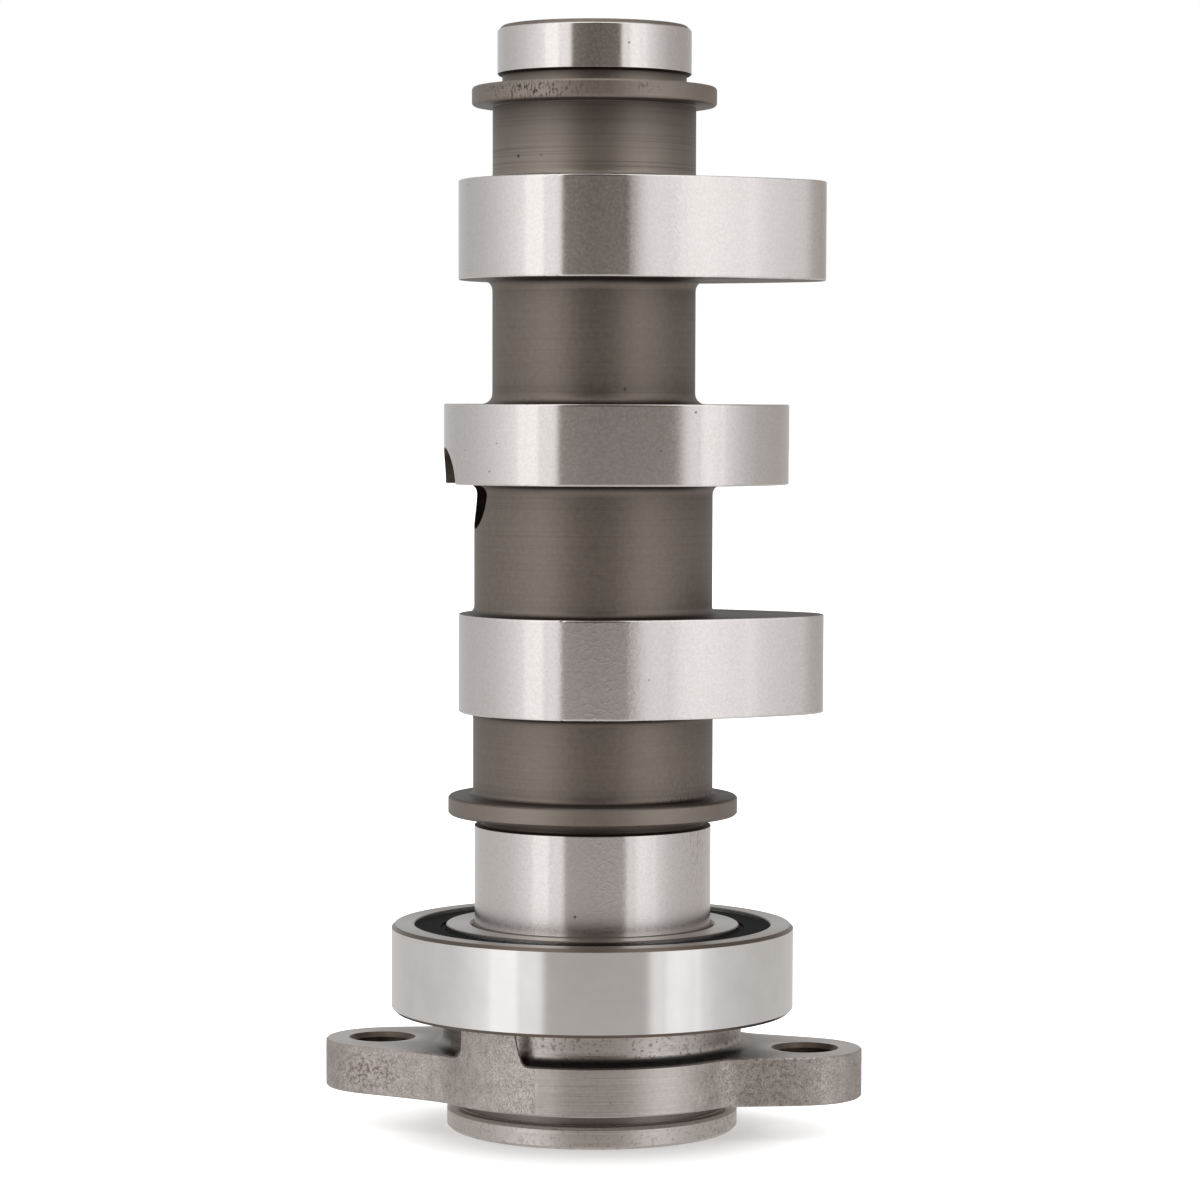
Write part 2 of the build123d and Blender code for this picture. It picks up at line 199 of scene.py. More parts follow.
def steel(name, look):
    # the piece's own attributes "marks", "pits" and "scratched" say where it is marked, and two more say
    # where shade is painted in the corners and where light is painted paler
    material, tree = newMaterial(name)
    place = addNode(tree, "ShaderNodeTexCoord", output="Object")
    cloud, colour, height = toolMarks(tree, place, look)
    if "markDepth" in look:
        colour, height = groovesWithPaintedLightAndShade(tree, place, look, colour, height)
    if "specks" in look:
        colour, height = specksAndPits(tree, place, look, colour, height)
    if "scratchDepth" in look:
        height = hairScratches(tree, place, look, height)
    middle, uneven = look["roughness"], look["unevenness"]
    roughness = addNode(tree, "ShaderNodeMapRange",
                        {0: cloud, 1: 0.3, 2: 0.7, 3: middle - uneven, 4: middle + uneven})
    if "roundingShade" in look:
        colour, roughness = dullAndShadedRoundings(tree, look, colour, roughness)
    return finishMetal(material, colour, roughness, height, look)


# Case-hardened steel, ground on the lobes and journals: bright, lightly mottled, fine marks round the axis
groundSteel = steel("groundSteel", {
    "dark": "#d8d3d0", "light": "#e1dcda", "lineColour": "#cdc6c3", "linePitch": 0.12, "lineLength": 9.0,
    "lineTone": 0.15, "cloudSize": 0.3, "roughness": 0.18, "unevenness": 0.02, "grainSize": 0.16,
    "grainShare": 1.2, "bump": 0.045, "depth": 0.012, "anisotropy": 0.85, "specks": 0.8, "speckGap": 2.2,
    "scratchDepth": 10.0})

# The same steel as turned and then darkened a little by heat treatment: dull and brownish, with lathe marks
turnedSteel = steel("turnedSteel", {
    "dark": "#827971", "light": "#8c827a", "lineColour": "#71675f", "linePitch": 0.16, "lineLength": 14.0,
    "lineTone": 0.25, "cloudSize": 0.5, "roughness": 0.5, "unevenness": 0.03, "grainSize": 0.22,
    "grainShare": 1.2, "bump": 0.2, "depth": 0.03, "anisotropy": 0.3, "specks": 0.8, "speckGap": 3.0,
    "markDepth": 0.5})

# Through-hardened bearing steel, ground and superfinished: the smoothest surface of the part, with painted
# shade on its roundings and level faces
bearingSteel = steel("bearingSteel", {
    "dark": "#e2dfde", "light": "#e7e5e4", "lineColour": "#dad6d4", "linePitch": 0.1, "lineLength": 20.0,
    "lineTone": 0.15, "cloudSize": 3.0, "roughness": 0.17, "unevenness": 0.01, "grainSize": 0.2,
    "grainShare": 0.2, "bump": 0.03, "depth": 0.01, "anisotropy": 0.85, "roundingShade": "#6f645b",
    "faces": "#b3aeaa"})

# The same steel lapped to balls: a mirror
lappedSteel = steel("lappedSteel", {
    "dark": "#dfdedd", "light": "#e4e3e2", "lineColour": "#dbd9d8", "linePitch": 0.5, "lineLength": 5.0,
    "lineTone": 0.2, "cloudSize": 2.0, "roughness": 0.08, "unevenness": 0.01, "grainSize": 0.3,
    "grainShare": 0.1, "bump": 0.02, "depth": 0.01, "anisotropy": 0.0})

# Cold-rolled sheet steel, pressed to a cage: plain grey, satin
pressedSteel = steel("pressedSteel", {
    "dark": "#a39e99", "light": "#b0aba6", "lineColour": "#958f89", "linePitch": 0.3, "lineLength": 6.0,
    "lineTone": 0.3, "cloudSize": 1.0, "roughness": 0.38, "unevenness": 0.04, "grainSize": 0.2,
    "grainShare": 0.5, "bump": 0.1, "depth": 0.02, "anisotropy": 0.0})

# Drilled wall, never polished: dark brown
drilledSteel = steel("drilledSteel", {
    "dark": "#5a5048", "light": "#6b6057", "lineColour": "#463d36", "linePitch": 0.2, "lineLength": 5.0,
    "lineTone": 0.4, "cloudSize": 1.0, "roughness": 0.42, "unevenness": 0.05, "grainSize": 0.3,
    "grainShare": 0.5, "bump": 0.2, "depth": 0.02, "anisotropy": 0.2})


def flangeSteel(look):
    # attribute "skin" is 1 on the forged skin and 0 where it was turned; "stain" browns it in patches
    material, tree = newMaterial("flangeSteel")
    place = addNode(tree, "ShaderNodeTexCoord", output="Object")
    skin, stain, pitted, paintedShade = (addNode(tree, "ShaderNodeAttribute", None, {"attribute_name": name}, "Fac")
                                 for name in ("skin", "stain", "pits", "paintedShade"))

    size = stretch(look["lineLength"], look["linePitch"])
    drawnOut = addNode(tree, "ShaderNodeVectorMath", {0: place, 1: size}, {"operation": "MULTIPLY"})
    lines = addNode(tree, "ShaderNodeTexNoise",
                    {"Vector": drawnOut, "Scale": 1.0, "Detail": 3.0, "Roughness": 0.6})
    share = addNode(tree, "ShaderNodeMapRange", {0: lines, 1: 0.3, 2: 0.7})
    turned = addNode(tree, "ShaderNodeMix", {0: share, 6: linearColour(look["turnedLight"]),
                                             7: linearColour(look["turnedDark"])}, asColour, 2)
    cloud = addNode(tree, "ShaderNodeTexNoise",
                    {"Vector": place, "Scale": 1 / (look["cloudSize"] * mm), "Detail": 4.0})
    share = addNode(tree, "ShaderNodeMapRange", {0: cloud, 1: 0.35, 2: 0.65})
    forged = addNode(tree, "ShaderNodeMix", {0: share, 6: linearColour(look["skinLight"]),
                                             7: linearColour(look["skinDark"])}, asColour, 2)
    worms = addNode(tree, "ShaderNodeTexNoise",         # a thin line where the noise is at its middle
                    {"Vector": place, "Scale": 1 / (look["wormSize"] * mm), "Detail": 1.0})
    worms = addNode(tree, "ShaderNodeMath", {0: worms, 1: 0.5}, {"operation": "SUBTRACT"})
    worms = addNode(tree, "ShaderNodeMath", {0: worms}, {"operation": "ABSOLUTE"})
    worm = addNode(tree, "ShaderNodeMapRange", {0: worms, 1: 0.0, 2: 0.05, 3: 1.0, 4: 0.0})
    share = addNode(tree, "ShaderNodeMath", {0: worm, 1: look["wormTone"]}, {"operation": "MULTIPLY"})
    forged = addNode(tree, "ShaderNodeMix",
                     {0: share, 6: forged, 7: linearColour(look["wormColour"])}, asColour, 2)
    colour = addNode(tree, "ShaderNodeMix", {0: skin, 6: turned, 7: forged}, asColour, 2)

    rust = addNode(tree, "ShaderNodeTexNoise", {"Vector": place, "Scale": 1 / (look["rustSize"] * mm),
                                                "Detail": 3.0, "Roughness": 0.65})
    rust = addNode(tree, "ShaderNodeMapRange", {0: rust, 1: 0.47, 2: 0.62})
    rust = addNode(tree, "ShaderNodeMath", {0: rust, 1: stain}, {"operation": "MULTIPLY"})
    dots = addNode(tree, "ShaderNodeTexVoronoi", {"Vector": place, "Scale": 1 / (look["dotGap"] * mm)})
    dot = addNode(tree, "ShaderNodeMapRange", {0: dots, 1: 0.05, 2: 0.12, 3: look["dotTone"], 4: 0.0})
    patches = addNode(tree, "ShaderNodeTexNoise", {"Vector": place, "Scale": 1 / (look["dotPatch"] * mm)})
    share = addNode(tree, "ShaderNodeMapRange", {0: patches, 1: 0.5, 2: 0.58})
    dot = addNode(tree, "ShaderNodeMath", {0: dot, 1: share}, {"operation": "MULTIPLY"})
    pit = addNode(tree, "ShaderNodeTexNoise", {"Vector": place, "Scale": 1 / (look["pitSize"] * mm),
                                               "Detail": 4.0, "Roughness": 0.6})
    pit = addNode(tree, "ShaderNodeMapRange", {0: pit, 1: 0.56, 2: 0.66})
    pit = addNode(tree, "ShaderNodeMath", {0: pit, 1: pitted}, {"operation": "MULTIPLY"})
    # the last colour is painted shade in the corners and the groove
    for amount, layer in ((rust, "rustColour"), (dot, "dotColour"), (pit, "pitColour"), (paintedShade, "flangeShadeColour")):
        colour = addNode(tree, "ShaderNodeMix",
                         {0: amount, 6: colour, 7: linearColour(look[layer])}, asColour, 2)

    height = addNode(tree, "ShaderNodeMath", {0: worm, 1: skin}, {"operation": "MULTIPLY"})
    height = addNode(tree, "ShaderNodeMath", {0: height, 1: -1.0, 2: lines}, {"operation": "MULTIPLY_ADD"})
    height = addNode(tree, "ShaderNodeMath", {0: pit, 1: -look["pitDepth"], 2: height},
                     {"operation": "MULTIPLY_ADD"})
    smooth, rough = look["roughness"]
    roughness = addNode(tree, "ShaderNodeMapRange", {0: skin, 3: smooth, 4: rough})
    return finishMetal(material, colour, roughness, height, look)


# Forged steel, blasted: a grey skin with fine worm-like relief, and satin with fine lines where it was turned
forgedSteel = flangeSteel({
    "turnedLight": "#cbc5c1", "turnedDark": "#bbb4af", "lineLength": 12.0, "linePitch": 0.14,
    "skinLight": "#c2bbb6", "skinDark": "#b5aca7", "cloudSize": 1.4,
    "wormColour": "#776c65", "wormSize": 0.36, "wormTone": 0.5,
    "rustColour": "#7b6b5f", "rustSize": 0.4,
    "dotColour": "#3c322b", "dotGap": 1.3, "dotTone": 0.55, "dotPatch": 3.2,
    "pitColour": "#4a3f38", "pitSize": 0.4, "pitDepth": 1.5, "flangeShadeColour": "#4b443f",
    "roughness": (0.34, 0.44), "bump": 0.45, "depth": 0.04, "anisotropy": 0.4})


def sealRubber():
    # Nitrile rubber, moulded: black and matt
    material, tree = newMaterial("sealRubber")
    place = addNode(tree, "ShaderNodeTexCoord", output="Object")
    tone = addNode(tree, "ShaderNodeTexNoise", {"Vector": place, "Scale": 1 / (0.8 * mm), "Detail": 3.0})
    colour = addNode(tree, "ShaderNodeMix",
                     {0: tone, 6: linearColour("#040404"), 7: linearColour("#080808")}, asColour, 2)
    shader = addNode(tree, "ShaderNodeBsdfPrincipled",
                     {"Base Color": colour, "Roughness": 0.6, "Specular IOR Level": 0.03})
    addNode(tree, "ShaderNodeOutputMaterial", {0: shader})
    return material


blackRubber = sealRubber()
print("materials made")


def turnedProfile(corners, steps=5, support=0.12):
    # (radius, height) corners, each rounded by its third value, with a ring close to each rounding
    # that keeps the shading of the long faces level
    points = [Vector(corners[0][:2])]
    for before, corner, after in zip(corners, corners[1:], corners[2:]):
        here = Vector(corner[:2])
        back = (Vector(before[:2]) - here).normalized()
        ahead = (Vector(after[:2]) - here).normalized()
        half = back.angle(ahead) / 2
        reach = corner[2] / math.tan(half)
        centre = here + (back + ahead).normalized() * corner[2] / math.sin(half)
        first, last = here + back * reach - centre, here + ahead * reach - centre
        turn = math.atan2(first.x * last.y - first.y * last.x, first.dot(last))
        points.append(here + back * (reach + support))
        points += [centre + Matrix.Rotation(turn * step / steps, 2) @ first for step in range(steps + 1)]
        points.append(here + ahead * (reach + support))
    points.append(Vector(corners[-1][:2]))
    return points


def meshFromRings(name, rings, closed=False, caps=False):
    # rings of equal length in millimetres, joined one to the next, with both ends closed by caps
    columns = len(rings[0])
    points = [tuple(c * mm for c in p) for ring in rings for p in ring]
    pairs = list(zip(range(len(rings) - 1), range(1, len(rings))))
    if closed:
        pairs.append((len(rings) - 1, 0))
    faces = []
    for low, high in pairs:
        for i in range(columns):
            j = (i + 1) % columns
            faces.append((low * columns + i, low * columns + j, high * columns + j, high * columns + i))
    if caps:
        faces.append(tuple(reversed(range(columns))))
        faces.append(tuple(range((len(rings) - 1) * columns, len(rings) * columns)))
    mesh = bpy.data.meshes.new(name)
    mesh.from_pydata(points, [], faces)
    mesh.update()
    piece = bpy.data.objects.new(name, mesh)
    bpy.context.scene.collection.objects.link(piece)
    return piece


def cutWith(piece, cutter):
    # takes the cutter out of the piece, leaves the piece's last finish on the cut, and drops the cutter
    for finish in piece.data.materials:
        cutter.data.materials.append(finish)
    for polygon in cutter.data.polygons:
        polygon.material_index = len(piece.data.materials) - 1
    cut = piece.modifiers.new("cut", "BOOLEAN")
    cut.operation, cut.solver, cut.object = "DIFFERENCE", "EXACT", cutter
    bpy.context.view_layer.update()
    result = bpy.data.meshes.new_from_object(piece.evaluated_get(bpy.context.evaluated_depsgraph_get()))
    piece.modifiers.clear()
    old, result.name = piece.data, piece.data.name + "Cut"
    piece.data = result
    bpy.data.meshes.remove(old)
    bpy.data.objects.remove(cutter)


def addMarks(piece, values):
    # one number for each of the piece's points, under each attribute's name
    for name, numbers in values.items():
        piece.data.attributes.new(name, "FLOAT", "POINT").data.foreach_set("value", numbers)


def finishPiece(piece, sharpest, replaced):
    # smooth shading up to a bend of so many degrees, then its place in the part
    piece.data.shade_smooth()
    piece.data.set_sharp_from_angle(angle=math.radians(sharpest))
    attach(piece, "camshaft")
    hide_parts(replaced)


# Camshaft, in millimetres, from the end in the flange upwards
outerLobe = {"width": 10.2, "radius": 14.0, "nose": 6.0, "offset": 18.0, "start": 14.5, "turn": 0.5}
middleLobe = {"width": 8.25, "radius": 15.5, "nose": 14.5, "offset": 5.75, "start": 0.5, "turn": -1.5}
shaft = {
    "columns": 480, "sharpest": 32,
    "lobes": [{"base": 43.48, **outerLobe}, {"base": 67.15, **middleLobe}, {"base": 88.15, **outerLobe}],
    # worn round edge of a lobe: radius, how it varies, nicks in it and how deep they are
    "rim": 0.14, "rimUnevenness": 0.05, "nicks": 9, "nickDepth": (0.05, 0.12),
    # the shaft below, between and above the lobes: radius, height and rounding of each corner
    "stretches": [
        [(0.02, 5.4, 0), (1.6, 6.0, 0.01), (1.6, 2.82, 0.1), (3.0, 0.4, 0.05), (10.5, 0.4, 0.05),
         (11.0, 0.9, 0.05), (11.0, 12.3, 0.05), (12.5, 12.3, 0.1), (12.5, 21.3, 0.02),
         (12.33, 21.35, 0.02), (12.33, 31.65, 0.05), (11.6, 31.75, 0.2), (11.6, 32.8, 0.1),
         (14.88, 32.8, 0.04), (15.08, 33.0, 0.04), (15.08, 34.55, 0.04), (14.88, 34.75, 0.04),
         (12.5, 34.75, 0.6), (12.5, 43.48, 0.7), (13.35, 43.48, 0)],
        [(13.35, 53.68, 0), (12.38, 53.68, 0.84), (12.38, 67.15, 1.1), (13.7, 67.15, 0)],
        [(13.7, 75.4, 0), (10.51, 75.4, 1.1), (10.51, 88.15, 1.1), (13.35, 88.15, 0)],
        [(13.35, 98.35, 0), (10.49, 98.35, 0.7), (10.49, 105.95, 0.15), (12.63, 105.95, 0.35),
         (12.63, 107.9, 0.35), (9.5, 107.9, 0.15), (9.5, 109.1, 0.1), (9.85, 109.1, 0.03),
         (10.0, 109.25, 0.03), (10.0, 113.6, 0.05), (9.5, 114.1, 0.05), (3.0, 114.1, 0.05),
         (1.6, 111.68, 0.1), (1.6, 108.5, 0.01), (0.02, 109.1, 0)],
    ],
    "ground": [(21.4, 31.6), (109.2, 113.7)], "groundFrom": 9.9,    # heights and least radius of the journals
    "pinHole": {"radius": 4.2, "height": 66.7, "turn": 8.8, "floor": 3.2, "mouth": 22.0, "columns": 96},
    "plainMarks": {"marks": 0.04, "pits": 0.0, "scratched": 0.04, "paintedShade": 0.0, "paintedLight": 0.0},
    # what (marks, pits and scratches, and painted shade in the corners and painted light), middle height,
    # spread, middle turn from the front, spread in degrees (0: all round), amount
    "wear": [
        ("marks", 99.2, 1.3, 0, 0, 0.75), ("marks", 101.5, 0.8, 60, 80, 0.6),
        ("marks", 104.9, 0.9, 0, 0, 0.6), ("marks", 102.5, 4.0, 0, 0, 0.45),
        ("marks", 66.3, 0.5, 0, 0, 0.4), ("marks", 34.9, 0.5, 0, 0, 0.5), ("marks", 77.0, 0.8, 0, 0, 0.3),
        ("pits", 106.9, 0.6, -32, 26, 1.6), ("pits", 107.2, 0.3, 25, 8, 1.0),
        ("pits", 35.0, 0.4, 65, 30, 0.8), ("pits", 30.8, 1.0, 62, 12, 0.5),
        ("scratched", 48.6, 9.0, 4, 14, 1.0), ("scratched", 26.5, 9.0, 6, 12, 1.0),
        # the darkenings at the corners between the steps, from the height 109.05 down, are painted shade
        ("scratched", 93.2, 9.0, 35, 9, 0.8), ("paintedShade", 109.05, 0.25, 0, 0, 0.9),
        ("paintedShade", 105.8, 0.3, 0, 0, 0.7), ("paintedShade", 98.4, 0.15, 0, 0, 0.6), ("paintedShade", 88.0, 0.3, 0, 0, 0.8),
        ("paintedShade", 75.45, 0.2, 0, 0, 0.8), ("paintedShade", 67.0, 0.3, 0, 0, 0.8), ("paintedShade", 53.75, 0.3, 0, 0, 0.9),
        ("paintedShade", 43.3, 0.3, 0, 0, 0.7), ("paintedShade", 34.85, 0.25, 0, 0, 0.9), ("paintedShade", 32.2, 0.5, 0, 0, 0.85),
        # painted light, paler on the shaft under the top collar and on the lower collar
        ("paintedLight", 102.2, 6.0, 0, 0, 0.75), ("paintedLight", 33.9, 1.2, 0, 0, 0.45),
    ],
}


def lobePoint(lobe, turn, inset):
    # point of a lobe's outline on the ray at this turn, moved inwards by inset
    local = (turn - math.radians(lobe["turn"]) + math.pi) % (2 * math.pi) - math.pi
    ray = Vector((math.cos(local), math.sin(local)))
    side = 1 if ray.y >= 0 else -1
    lean = math.radians(lobe["start"])
    step = lobe["radius"] - lobe["nose"]
    reach = (lobe["offset"] ** 2 - step ** 2) / (2 * (step - lobe["offset"] * math.sin(lean)))
    noseCentre = Vector((lobe["offset"], 0))
    flankCentre = Vector((-math.sin(lean), -side * math.cos(lean))) * reach
    join = noseCentre + (noseCentre - flankCentre).normalized() * lobe["nose"]
    if abs(local) < abs(math.atan2(join.y, join.x)):
        centre, bend = noseCentre, lobe["nose"]
    elif abs(local) < math.pi / 2 - lean:
        centre, bend = flankCentre, reach + lobe["radius"]
    else:
        centre, bend = Vector((0, 0)), lobe["radius"]
    along = ray.dot(centre)
    point = ray * (along + math.sqrt(max(bend ** 2 - centre.length_squared + along ** 2, 0)))
    point -= (point - centre).normalized() * inset
    return Matrix.Rotation(math.radians(lobe["turn"]), 2) @ point


def lobeRings(lobe, turns, sizes):
    # side face, worn rim, ground wall, worn rim, side face
    wear = []
    for t in turns:
        slow = noise.noise(Vector((6 * math.cos(t), 6 * math.sin(t), lobe["base"])))
        wear.append(sizes["rim"] + sizes["rimUnevenness"] * slow)
    for _ in range(sizes["nicks"]):
        at, depth = chance.randrange(len(turns)), chance.uniform(*sizes["nickDepth"])
        wear[at] += depth
        wear[(at + 1) % len(turns)] += depth / 2
    # how far in and how far along each ring is: shares of the wear, and millimetres to add
    steps = [(0, 0, 0.6, 0), (1, 0, 0.1, 0), (1, 0, 0, 0), (0.5, 0.134, 0, 0), (0.134, 0.5, 0, 0),
             (0, 1, 0, 0), (0, 1, 0, 0.12)]
    rings = []
    for edge, way, order in ((lobe["base"], 1, steps), (lobe["base"] + lobe["width"], -1, reversed(steps))):
        for inward, along, moreIn, moreAlong in order:
            outline = [lobePoint(lobe, t, inward * w + moreIn) for t, w in zip(turns, wear)]
            rings.append([(p.x, p.y, edge + way * (along * w + moreAlong)) for p, w in zip(outline, wear)])
    return rings


def markShaft(piece, sizes):
    # how deeply each place is marked, in attributes that the steels read
    values = {kind: [] for kind in sizes["plainMarks"]}
    for vertex in piece.data.vertices:
        x, y, z = (c / mm for c in vertex.co)
        turn = math.degrees(math.atan2(x, -y))          # 0 at the front, positive to the right
        found = dict(sizes["plainMarks"])
        for kind, middle, spread, middleTurn, turnSpread, amount in sizes["wear"]:
            away = ((z - middle) / spread) ** 2
            if turnSpread:
                away += (((turn - middleTurn + 180) % 360 - 180) / turnSpread) ** 2
            found[kind] = max(found[kind], amount * math.exp(-away))
        for kind, value in found.items():
            values[kind].append(value)
    addMarks(piece, values)


def pinHoleCutter(hole):
    # a plug that leaves the cross hole with a level floor
    away = Vector((-math.cos(math.radians(hole["turn"])), -math.sin(math.radians(hole["turn"])), 0))
    aim = away.to_track_quat("Z", "Y").to_matrix()
    lift = Vector((0, 0, hole["height"]))
    rings = []
    for far in (hole["floor"], hole["mouth"]):
        ring = []
        for i in range(hole["columns"]):
            t = 2 * math.pi * i / hole["columns"]
            point = Vector((hole["radius"] * math.cos(t), hole["radius"] * math.sin(t), far))
            ring.append(aim @ point + lift)
        rings.append(ring)
    return meshFromRings("pinHoleCutter", rings, caps=True)


def buildCamshaft(sizes):
    turns = [2 * math.pi * i / sizes["columns"] for i in range(sizes["columns"])]
    rings = []
    for index, stretch in enumerate(sizes["stretches"]):
        for p in turnedProfile(stretch):
            rings.append([(p.x * math.cos(t), p.x * math.sin(t), p.y) for t in turns])
        if index < len(sizes["lobes"]):
            rings += lobeRings(sizes["lobes"][index], turns, sizes)
    piece = meshFromRings("camshaftBody", rings, caps=True)
    for finish in (turnedSteel, groundSteel, drilledSteel):
        piece.data.materials.append(finish)
    for polygon in piece.data.polygons:
        height = polygon.center.z / mm
        radius = math.hypot(polygon.center.x, polygon.center.y) / mm
        level = abs(polygon.normal.z) > 0.9
        onLobe = any(lobe["base"] < height < lobe["base"] + lobe["width"] for lobe in sizes["lobes"])
        onJournal = any(low < height < high for low, high in sizes["ground"]) and radius > sizes["groundFrom"]
        polygon.material_index = 1 if (onLobe or onJournal) and not level else 0
    cutWith(piece, pinHoleCutter(sizes["pinHole"]))
    markShaft(piece, sizes)
    finishPiece(piece, sizes["sharpest"], "camshaft")
    return piece


camshaftBody = buildCamshaft(shaft)
print("camshaft made:", len(camshaftBody.data.polygons), "faces")

# Sprocket flange, in millimetres, from the end face upwards
flange = {
    "columns": 900, "rows": 26, "sharpest": 34,
    "spigotRadius": 15.2, "spigotHeight": 2.25, "spigotChamfer": 0.3,
    "grooveRadius": 14.0, "plateBase": 3.7, "plateTop": 8.7, "edge": 0.15,
    "discRadius": 17.5, "neckRadius": 15.6, "neckTop": 12.3, "cove": 1.1, "boreRadius": 11.0,
    "earTurn": -8.4, "earOffset": 21.2, "earRadius": 7.2,
    "rootOffset": 15.5, "rootHalfWidth": 8.8, "rootFillet": 4.0, "flare": (11.9, 12.0),
    # on the left front the plate runs straight from the block to the ear, with a slight bend
    "shoulder": (-3.4, -17.45), "shoulderFillet": 40.0, "flankBend": (-15.3, -10.0),
    "holeOffset": 22.4, "holeRadius": 3.0, "holeChamfer": 0.5, "holeColumns": 96,
    "blockLeft": -13.4, "blockRightTop": -7.85, "blockRightFoot": -6.3, "blockTop": 12.05, "blockFillet": 1.0,
    "blockCorner": 1.2,         # upright rounding where the block's right side meets the neck
    "blockBlend": 60,           # columns over which the rings turn back towards the axis
    "blockFaceTurns": (200, 240), "blockFaceStep": 0.0004,      # where the block's left face is looked for
    "smoothing": 60,
    "skinDepth": 0.03, "pitDepth": 0.1,         # relief of the forging's skin
    "turnedEnd": 312, "turnedFade": 14,         # turn in degrees where the turned front ends, and its fading
    # middle and spread across, middle height and spread upwards (0: all heights), amount
    "stains": [(-23.2, 3.8, 6.0, 2.4, 1.0), (18.5, 6.5, 0, 0, 0.6)], "plainStain": 0.12,
}


def earWeb(root, discEnd, earEnd, fillet):
    # fills the corner at the root between the disc's edge and the ear's with an arc
    discWay, earWay = (discEnd - root).normalized(), (earEnd - root).normalized()
    half = discWay.angle(earWay) / 2
    reach = fillet / math.tan(half)
    centre = root + (discWay + earWay).normalized() * fillet / math.sin(half)
    first, last = root + discWay * reach - centre, root + earWay * reach - centre
    turn = math.atan2(first.x * last.y - first.y * last.x, first.dot(last))
    arc = [centre + Matrix.Rotation(turn * i / 16, 2) @ first for i in range(17)]
    return [tuple(root)] + [tuple(p) for p in arc]


def earShapes(sizes, side):
    # tapered ear with a round end, and the webs that fill the corners at its root
    centre, radius = Vector((side * sizes["earOffset"], 0)), sizes["earRadius"]
    root = Vector((side * sizes["rootOffset"], sizes["rootHalfWidth"]))
    toCentre = centre - root
    away = math.atan2(toCentre.y, toCentre.x) + side * math.asin(radius / toCentre.length)
    reach = math.sqrt(toCentre.length_squared - radius ** 2)
    touch = root + Vector((math.cos(away), math.sin(away))) * reach
    start = math.atan2(touch.y - centre.y, (touch.x - centre.x) * side)
    arc = [start * (1 - i / 40) - start * i / 40 for i in range(41)]
    outline = [(root.x, -root.y), (root.x, root.y)]
    outline += [(centre.x + side * radius * math.cos(a), radius * math.sin(a)) for a in arc]
    flare = Vector((side * sizes["flare"][0], sizes["flare"][1]))
    shapes = [outline, earWeb(root, flare, touch, sizes["rootFillet"])]
    if side > 0:
        mirror = Vector((1, -1))
        return shapes + [earWeb(root * mirror, flare * mirror, touch * mirror, sizes["rootFillet"])]
    bend, shoulder = Vector(sizes["flankBend"]), Vector(sizes["shoulder"])
    toCentre = centre - bend
    away = math.atan2(-toCentre.y, toCentre.x) - math.asin(radius / toCentre.length)
    reach = math.sqrt(toCentre.length_squared - radius ** 2)
    end = bend + Vector((math.cos(away), -math.sin(away))) * reach
    return shapes + [[tuple(bend), tuple(end), tuple(centre), (root.x, 0)],
                     [tuple(bend), tuple(shoulder), (0, 0), (root.x, 0)],
                     earWeb(bend, shoulder, end, sizes["shoulderFillet"])]


def farthest(ray, polygon):
    # how far along the ray it last leaves the polygon
    reach = 0.0
    for (ax, ay), (bx, by) in zip(polygon, polygon[1:] + polygon[:1]):
        dx, dy = bx - ax, by - ay
        cross = ray[0] * dy - ray[1] * dx
        if abs(cross) < 1e-12:
            continue
        along = (ax * dy - ay * dx) / cross
        share = (ax * ray[1] - ay * ray[0]) / cross
        if -1e-9 <= share <= 1 + 1e-9 and along > reach:
            reach = along
    return reach


def flangeOutline(sizes):
    # turn, wall point and outward way of each column, and the turn of the shoulder's corner
    across, up = sizes["rootOffset"], sizes["rootHalfWidth"]
    flareX, flareY = sizes["flare"]
    core = [(across, -up), (across, up), (flareX, flareY), (-flareX, flareY), (-across, up), (-across, -up),
            sizes["shoulder"], (0, -flareY), (flareX, -flareY)]
    spin = Matrix.Rotation(math.radians(sizes["earTurn"]), 2)
    shapes = [core] + earShapes(sizes, 1) + earShapes(sizes, -1)
    shapes = [[tuple(spin @ Vector(p)) for p in shape] for shape in shapes]

    def edgeAt(t):
        ray = (math.cos(t), math.sin(t))
        return max([sizes["discRadius"]] + [farthest(ray, shape) for shape in shapes])

    # columns exactly at the shoulder's corner and on both sides of the block's left face
    low, high = (math.radians(t) for t in sizes["blockFaceTurns"])
    for _ in range(50):
        middle = (low + high) / 2
        if edgeAt(middle) * math.cos(middle) < sizes["blockLeft"]:
            low = middle
        else:
            high = middle
    corner = spin @ Vector(sizes["shoulder"])
    cornerTurn = math.atan2(corner.y, corner.x) % (2 * math.pi)
    count = sizes["columns"]
    turns = [2 * math.pi * i / count for i in range(count)]
    fixedTurns = []
    for wanted in (cornerTurn, low - sizes["blockFaceStep"], low + sizes["blockFaceStep"]):
        nearest = min(range(count), key=lambda i: abs(turns[i] - wanted) if turns[i] not in fixedTurns else 9)
        turns[nearest] = wanted
        fixedTurns.append(wanted)
    turns.sort()
    wall = [Vector((math.cos(t), math.sin(t))) * edgeAt(t) for t in turns]
    for _ in range(sizes["smoothing"]):             # a forging has no sharp bends
        wall = [(wall[i - 1] + p * 2 + wall[(i + 1) % count]) / 4 for i, p in enumerate(wall)]
    ways = [wall[(i + 1) % count] - wall[i - 1] for i in range(count)]
    return turns, wall, [Vector((way.y, -way.x)).normalized() for way in ways], cornerTurn


def topAt(sizes, x, y):
    # height of the forging's upper side: the block stands on the left of the front half
    left, right, foot = sizes["blockLeft"], sizes["blockRightTop"], sizes["blockRightFoot"]
    top, base, fillet = sizes["blockTop"], sizes["plateTop"], sizes["blockFillet"]
    if y > 0 or x <= left - fillet or x >= foot:
        return base
    if x < left:
        return base + fillet - math.sqrt(fillet ** 2 - (x - left + fillet) ** 2)
    if x <= right:
        return top
    share = (x - right) / (foot - right)
    return base + (top - base) * (1 - share) ** 3


